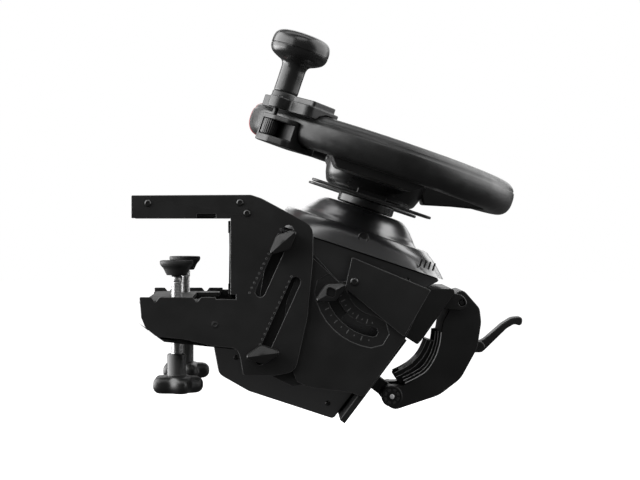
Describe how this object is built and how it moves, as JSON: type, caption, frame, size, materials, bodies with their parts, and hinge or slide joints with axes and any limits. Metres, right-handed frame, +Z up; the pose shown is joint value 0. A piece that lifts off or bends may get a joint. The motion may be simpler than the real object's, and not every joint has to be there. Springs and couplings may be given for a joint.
{
  "type": "racing wheel",
  "caption": "Racing wheel with a spinner knob on a belt-driven base, held by a height- and tilt-adjusting desk clamp bracket.",
  "frame": {"origin": "corner of the desk on the middle plane: the jaw pad's underside is at Z = 0 and the bumpers' faces are at X = 0", "axes": "+X from the desk towards the driver, +Y to the driver's right, +Z up"},
  "size_m": [0.3892, 0.28, 0.3851],
  "materials": {
    "powder_coat": "fine matt black powder coat on folded sheet steel",
    "satin_plastic": "satin moulded black plastic",
    "gloss_plastic": "semi-gloss moulded black plastic",
    "grip": "smooth satin black wheel covering",
    "rubber": "matt black rubber",
    "zinc": "bright zinc-plated steel",
    "bearing_steel": "ground bare steel",
    "circuit": "green solder mask"
  },
  "bodies": {
    "bracket": {"left_side_plate": "powder_coat", "right_side_plate": "powder_coat", "top_plate": "powder_coat", "jaw_pad": "rubber", "lower_tray": "powder_coat", "left_bumper": "rubber", "right_bumper": "rubber"},
    "left_pad": {"left_clamp_pad": "rubber"},
    "left_screw": {"left_clamp_spindle": "zinc", "left_clamp_handle": "satin_plastic"},
    "right_pad": {"right_clamp_pad": "rubber"},
    "right_screw": {"right_clamp_spindle": "zinc", "right_clamp_handle": "satin_plastic"},
    "height_carrier": {"left_carrier_plate": "powder_coat", "right_carrier_plate": "powder_coat", "left_upper_bolt": "zinc", "left_lower_bolt": "zinc", "left_tilt_bolt": "zinc", "right_upper_bolt": "zinc", "right_lower_bolt": "zinc", "right_tilt_bolt": "zinc"},
    "left_upper_knob": {"left_upper_knob": "satin_plastic"},
    "left_lower_knob": {"left_lower_knob": "satin_plastic"},
    "left_tilt_knob": {"left_tilt_knob": "satin_plastic"},
    "right_upper_knob": {"right_upper_knob": "satin_plastic"},
    "right_lower_knob": {"right_lower_knob": "satin_plastic"},
    "right_tilt_knob": {"right_tilt_knob": "satin_plastic"},
    "tilt_cradle": {"left_tilt_plate": "powder_coat", "right_tilt_plate": "powder_coat", "left_cheek_plate": "powder_coat", "right_cheek_plate": "powder_coat", "mounting_board": "powder_coat", "base_housing": "gloss_plastic", "base_cover": "gloss_plastic", "clamp_root": "satin_plastic", "upper_bearing": "bearing_steel", "lower_bearing": "bearing_steel", "motor": "bearing_steel", "drive_belt": "rubber", "control_board": "circuit"},
    "motor_pulley": {"motor_pulley": "zinc"},
    "steering_wheel": {"steering_shaft": "bearing_steel", "shaft_pulley": "satin_plastic", "wheel_collar": "satin_plastic", "wheel_hub": "satin_plastic", "wheel_rim": "grip", "knob_clamp_top": "satin_plastic", "knob_clamp_jaw": "satin_plastic", "knob_post": "satin_plastic"},
    "left_paddle": {"left_paddle": "satin_plastic"},
    "right_paddle": {"right_paddle": "satin_plastic"},
    "left_upper_button": {"left_upper_button": "satin_plastic"},
    "left_lower_button": {"left_lower_button": "satin_plastic"},
    "right_upper_button": {"right_upper_button": "satin_plastic"},
    "right_lower_button": {"right_lower_button": "satin_plastic"},
    "spinner_knob": {"spinner_knob": "satin_plastic"},
    "knob_clamp_thumbwheel": {"knob_clamp_thumbwheel": "zinc"},
    "clamp_arm": {"clamp_arm": "satin_plastic"},
    "clamp_lever": {"clamp_lever": "satin_plastic"},
    "clamp_arm_pad": {"clamp_arm_pad": "rubber"}
  },
  "joints": [
    {"name": "left_pad_travel", "type": "slide", "parent": "bracket", "child": "left_pad", "axis": [0, 0, 1], "range_m": [-0.012, 0.03]},
    {"name": "left_screw_turn", "type": "hinge", "parent": "left_pad", "child": "left_screw", "pos_m": [-0.051, -0.073, 0], "axis": [0, 0, 1], "range_deg": [-2900, 7220]},
    {"name": "right_pad_travel", "type": "slide", "parent": "bracket", "child": "right_pad", "axis": [0, 0, 1], "range_m": [-0.012, 0.03]},
    {"name": "right_screw_turn", "type": "hinge", "parent": "right_pad", "child": "right_screw", "pos_m": [-0.051, 0.073, 0], "axis": [0, 0, 1], "range_deg": [-2900, 7220]},
    {"name": "height_adjust", "type": "slide", "parent": "bracket", "child": "height_carrier", "axis": [0.4147, 0, 0.91], "range_m": [-0.006, 0.012]},
    {"name": "left_upper_knob_turn", "type": "hinge", "parent": "height_carrier", "child": "left_upper_knob", "pos_m": [0.053, -0.1, -0.0224], "axis": [0, -1, 0], "range_deg": [0, 720]},
    {"name": "left_lower_knob_turn", "type": "hinge", "parent": "height_carrier", "child": "left_lower_knob", "pos_m": [0.0337, -0.1, -0.1298], "axis": [0, -1, 0], "range_deg": [0, 720]},
    {"name": "left_tilt_knob_turn", "type": "hinge", "parent": "height_carrier", "child": "left_tilt_knob", "pos_m": [0.0989, -0.1, -0.0703], "axis": [0, -1, 0], "range_deg": [0, 720]},
    {"name": "right_upper_knob_turn", "type": "hinge", "parent": "height_carrier", "child": "right_upper_knob", "pos_m": [0.053, 0.1, -0.0224], "axis": [0, 1, 0], "range_deg": [0, 720]},
    {"name": "right_lower_knob_turn", "type": "hinge", "parent": "height_carrier", "child": "right_lower_knob", "pos_m": [0.0337, 0.1, -0.1298], "axis": [0, 1, 0], "range_deg": [0, 720]},
    {"name": "right_tilt_knob_turn", "type": "hinge", "parent": "height_carrier", "child": "right_tilt_knob", "pos_m": [0.0989, 0.1, -0.0703], "axis": [0, 1, 0], "range_deg": [0, 720]},
    {"name": "wheel_tilt", "type": "hinge", "parent": "height_carrier", "child": "tilt_cradle", "pos_m": [0.1468, 0, -0.0609], "axis": [0, 1, 0], "range_deg": [0, 18]},
    {"name": "steering", "type": "hinge", "parent": "tilt_cradle", "child": "steering_wheel", "pos_m": [0.1526, 0, 0.0587], "axis": [0.3173, 0, 0.9483], "range_deg": [-450, 450]},
    {"name": "motor_turn", "type": "hinge", "parent": "tilt_cradle", "child": "motor_pulley", "pos_m": [0.10708, 0, 0.07393], "axis": [0.3173, 0, 0.9483], "range_deg": [-1760, 1760]},
    {"name": "left_paddle_pull", "type": "hinge", "parent": "steering_wheel", "child": "left_paddle", "pos_m": [0.14086, -0.054, 0.02361], "axis": [-0.9483, 0, 0.3173], "range_deg": [0, 6], "stiffness_Nm_per_rad": 1},
    {"name": "right_paddle_pull", "type": "hinge", "parent": "steering_wheel", "child": "right_paddle", "pos_m": [0.14086, 0.054, 0.02361], "axis": [0.9483, 0, -0.3173], "range_deg": [0, 6], "stiffness_Nm_per_rad": 1},
    {"name": "left_upper_button_press", "type": "slide", "parent": "steering_wheel", "child": "left_upper_button", "axis": [-0.3173, 0, -0.9483], "range_m": [0, 0.0015], "stiffness_N_per_m": 800},
    {"name": "left_lower_button_press", "type": "slide", "parent": "steering_wheel", "child": "left_lower_button", "axis": [-0.3173, 0, -0.9483], "range_m": [0, 0.0015], "stiffness_N_per_m": 800},
    {"name": "right_upper_button_press", "type": "slide", "parent": "steering_wheel", "child": "right_upper_button", "axis": [-0.3173, 0, -0.9483], "range_m": [0, 0.0015], "stiffness_N_per_m": 800},
    {"name": "right_lower_button_press", "type": "slide", "parent": "steering_wheel", "child": "right_lower_button", "axis": [-0.3173, 0, -0.9483], "range_m": [0, 0.0015], "stiffness_N_per_m": 800},
    {"name": "spinner_turn", "type": "hinge", "parent": "steering_wheel", "child": "spinner_knob", "pos_m": [0.04572, -0.054, 0.09446], "axis": [0.3173, 0, 0.9483], "continuous": true},
    {"name": "thumbwheel_turn", "type": "hinge", "parent": "steering_wheel", "child": "knob_clamp_thumbwheel", "pos_m": [0.0429, -0.09706, 0.0954], "axis": [0.3173, 0, 0.9483], "range_deg": [0, 1080]},
    {"name": "base_clamp_open", "type": "hinge", "parent": "tilt_cradle", "child": "clamp_arm", "pos_m": [0.2315, 0, -0.084], "axis": [0, -1, 0], "range_deg": [0, 30]},
    {"name": "lever_release", "type": "hinge", "parent": "clamp_arm", "child": "clamp_lever", "pos_m": [0.2545, 0, -0.1305], "axis": [0, 1, 0], "range_deg": [0, 75]},
    {"name": "arm_pad_swivel", "type": "hinge", "parent": "clamp_arm", "child": "clamp_arm_pad", "pos_m": [0.1621, 0, -0.1782], "axis": [0, 1, 0], "range_deg": [0, 16]}
  ],
  "couplings": [
    {"joint": "left_screw_turn", "follows": "left_pad_travel", "rad_per_m": 4188.8},
    {"joint": "right_screw_turn", "follows": "right_pad_travel", "rad_per_m": 4188.8},
    {"joint": "motor_turn", "follows": "steering", "ratio": 3.8824},
    {"joint": "arm_pad_swivel", "follows": "base_clamp_open", "ratio": 0.5}
  ]
}
